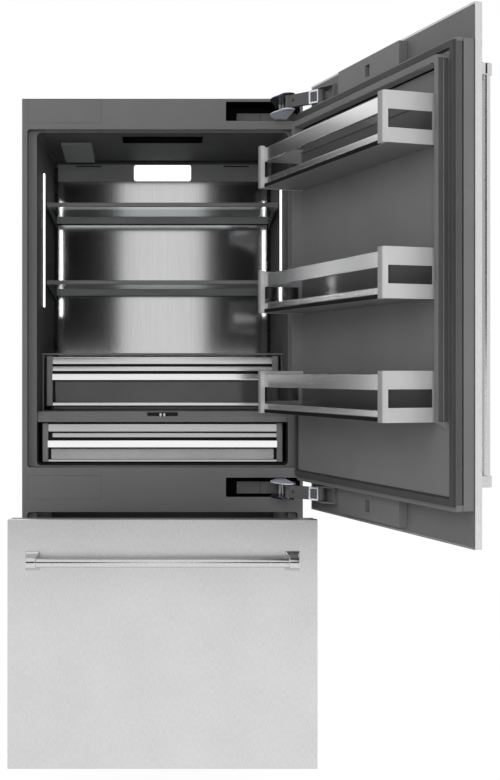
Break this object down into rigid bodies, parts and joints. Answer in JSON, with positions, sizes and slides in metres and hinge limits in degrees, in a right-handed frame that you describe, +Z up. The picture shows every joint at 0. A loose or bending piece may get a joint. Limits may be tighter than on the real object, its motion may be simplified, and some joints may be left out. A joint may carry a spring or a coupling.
{
  "type": "bottom freezer refrigerator",
  "caption": "Built-in refrigerator with an open stainless door on articulated hinges, lit shelves and crispers above, and a freezer drawer pulled part way out below.",
  "frame": {"origin": "middle of the kick panel's sole, on the floor and on the cabinet's middle plane", "axes": "+Z up, the fronts face -Y, +X towards the hinge side"},
  "size_m": [1.2646, 1.5766, 2.134],
  "materials": {
    "stainless": "brushed upright grain",
    "back_panel": "satin sheet",
    "handle": "polished satin",
    "trim": "satin anodised",
    "hinge": "bright zinc plate",
    "frame": "satin graphite",
    "shell": "satin paint",
    "liner": "satin graphite",
    "glass": "clear",
    "smoked": "smoked",
    "grey_plastic": "satin",
    "black_plastic": "matt",
    "display": "gloss black",
    "lamp": "opal",
    "gasket": "matt",
    "coil": "plain",
    "dark_steel": "satin black",
    "black_steel": "gloss black",
    "galvanised": "zinc plated"
  },
  "bodies": {
    "cabinet": {"front_frame": "frame", "cabinet_shell": "shell", "fridge_liner": "liner", "freezer_liner": "liner", "hinge_blank_upper": "frame", "hinge_blank_lower": "frame", "fridge_back_panel": "back_panel", "fridge_evaporator": "coil", "freezer_back_panel": "liner", "freezer_evaporator": "coil", "rear_lamp_lens": "lamp", "ceiling_display_strip": "display", "ceiling_air_housing": "liner", "led_bar_left": "lamp", "led_bar_right": "lamp", "drawer_deck": "liner", "upper_drawer_cover_glass": "glass", "kick_panel": "frame", "compressor": "black_steel", "condenser": "dark_steel", "rear_grille": "galvanised", "freezer_slide_left": "galvanised", "freezer_slide_right": "galvanised", "upper_hinge_plate": "hinge", "lower_hinge_plate": "hinge"},
    "door": {"door_panel": "stainless", "door_box": "frame", "door_liner": "liner", "door_gasket": "gasket", "door_handle": "handle"},
    "upper_leaf": {"upper_hinge_leaf": "hinge"},
    "lower_leaf": {"lower_hinge_leaf": "hinge"},
    "upper_bar": {"upper_hinge_bar": "hinge"},
    "lower_bar": {"lower_hinge_bar": "hinge"},
    "upper_bin": {"upper_door_bin": "trim"},
    "middle_bin": {"middle_door_bin": "trim"},
    "lower_bin": {"lower_door_bin": "trim"},
    "drawer": {"freezer_panel": "stainless", "freezer_box": "frame", "freezer_gasket": "gasket", "freezer_handle": "handle", "drawer_carriage": "galvanised"},
    "basket": {"freezer_basket": "smoked"},
    "tray": {"freezer_tray": "smoked"},
    "upper_crisper": {"upper_crisper_bin": "smoked", "upper_crisper_front": "trim"},
    "lower_crisper": {"lower_crisper_bin": "smoked", "lower_crisper_front": "trim"},
    "upper_shelf": {"upper_shelf_frame": "trim", "upper_shelf_glass": "glass"},
    "middle_shelf": {"middle_shelf_frame": "trim", "middle_shelf_glass": "glass"},
    "slider": {"humidity_slider": "grey_plastic"},
    "left_foot": {"levelling_foot_left": "dark_steel"},
    "right_foot": {"levelling_foot_right": "dark_steel"},
    "left_roller": {"rear_roller_left": "black_plastic"},
    "right_roller": {"rear_roller_right": "black_plastic"},
    "cooler_fan": {"fridge_fan": "black_plastic"},
    "freezer_air_fan": {"freezer_fan": "black_plastic"},
    "machine_fan": {"condenser_fan": "black_plastic"}
  },
  "joints": [
    {"name": "door_swing", "type": "hinge", "parent": "cabinet", "child": "door", "pos_m": [0.4706, -0.1319, 0], "axis": [0, 0, 1], "range_deg": [-108.3, 6.7]},
    {"name": "upper_leaf_pivot", "type": "hinge", "parent": "cabinet", "child": "upper_leaf", "pos_m": [0.38, -0.052, 2.079], "axis": [0, 0, 1], "range_deg": [-108.3, 6.7]},
    {"name": "lower_leaf_pivot", "type": "hinge", "parent": "cabinet", "child": "lower_leaf", "pos_m": [0.38, -0.052, 0.875], "axis": [0, 0, 1], "range_deg": [-108.3, 6.7]},
    {"name": "upper_bar_pivot", "type": "hinge", "parent": "door", "child": "upper_bar", "pos_m": [0.4812, -0.2702, 2.079], "axis": [0, 0, 1], "range_deg": [-6.7, 108.3]},
    {"name": "lower_bar_pivot", "type": "hinge", "parent": "door", "child": "lower_bar", "pos_m": [0.4812, -0.2702, 0.875], "axis": [0, 0, 1], "range_deg": [-6.7, 108.3]},
    {"name": "upper_bin_lift", "type": "slide", "parent": "door", "child": "upper_bin", "axis": [0, 0, 1], "range_m": [0, 0.03]},
    {"name": "middle_bin_lift", "type": "slide", "parent": "door", "child": "middle_bin", "axis": [0, 0, 1], "range_m": [0, 0.03]},
    {"name": "lower_bin_lift", "type": "slide", "parent": "door", "child": "lower_bin", "axis": [0, 0, 1], "range_m": [0, 0.03]},
    {"name": "drawer_travel", "type": "slide", "parent": "cabinet", "child": "drawer", "axis": [0, -1, 0], "range_m": [-0.2465, 0.1535]},
    {"name": "basket_lift", "type": "slide", "parent": "drawer", "child": "basket", "axis": [0, 0, 1], "range_m": [0, 0.025]},
    {"name": "tray_travel", "type": "slide", "parent": "drawer", "child": "tray", "axis": [0, 1, 0], "range_m": [0, 0.15]},
    {"name": "upper_crisper_travel", "type": "slide", "parent": "cabinet", "child": "upper_crisper", "axis": [0, -1, 0], "range_m": [0, 0.28]},
    {"name": "lower_crisper_travel", "type": "slide", "parent": "cabinet", "child": "lower_crisper", "axis": [0, -1, 0], "range_m": [0, 0.3]},
    {"name": "upper_shelf_tilt", "type": "hinge", "parent": "cabinet", "child": "upper_shelf", "pos_m": [0, 0.4775, 1.8097], "axis": [-1, 0, 0], "range_deg": [0, 15]},
    {"name": "middle_shelf_tilt", "type": "hinge", "parent": "cabinet", "child": "middle_shelf", "pos_m": [0, 0.4775, 1.5477], "axis": [-1, 0, 0], "range_deg": [0, 15]},
    {"name": "slider_travel", "type": "slide", "parent": "cabinet", "child": "slider", "axis": [1, 0, 0], "range_m": [-0.03, 0.03]},
    {"name": "left_foot_thread", "type": "slide", "parent": "cabinet", "child": "left_foot", "axis": [0, 0, -1], "range_m": [0, 0.025]},
    {"name": "right_foot_thread", "type": "slide", "parent": "cabinet", "child": "right_foot", "axis": [0, 0, -1], "range_m": [0, 0.025]},
    {"name": "left_roller_spin", "type": "hinge", "parent": "cabinet", "child": "left_roller", "pos_m": [-0.38, 0.48, 0.028], "axis": [1, 0, 0], "continuous": true},
    {"name": "right_roller_spin", "type": "hinge", "parent": "cabinet", "child": "right_roller", "pos_m": [0.38, 0.48, 0.028], "axis": [1, 0, 0], "continuous": true},
    {"name": "cooler_fan_spin", "type": "hinge", "parent": "cabinet", "child": "cooler_fan", "pos_m": [0, 0.5065, 1.62], "axis": [0, 1, 0], "continuous": true},
    {"name": "freezer_fan_spin", "type": "hinge", "parent": "cabinet", "child": "freezer_air_fan", "pos_m": [0, 0.5065, 0.7], "axis": [0, 1, 0], "continuous": true},
    {"name": "machine_fan_spin", "type": "hinge", "parent": "cabinet", "child": "machine_fan", "pos_m": [-0.285, 0.431, 0.2235], "axis": [0, 1, 0], "continuous": true}
  ],
  "couplings": [
    {"joint": "upper_leaf_pivot", "follows": "door_swing", "ratio": 1},
    {"joint": "lower_leaf_pivot", "follows": "door_swing", "ratio": 1},
    {"joint": "upper_bar_pivot", "follows": "door_swing", "ratio": -1},
    {"joint": "lower_bar_pivot", "follows": "door_swing", "ratio": -1}
  ]
}
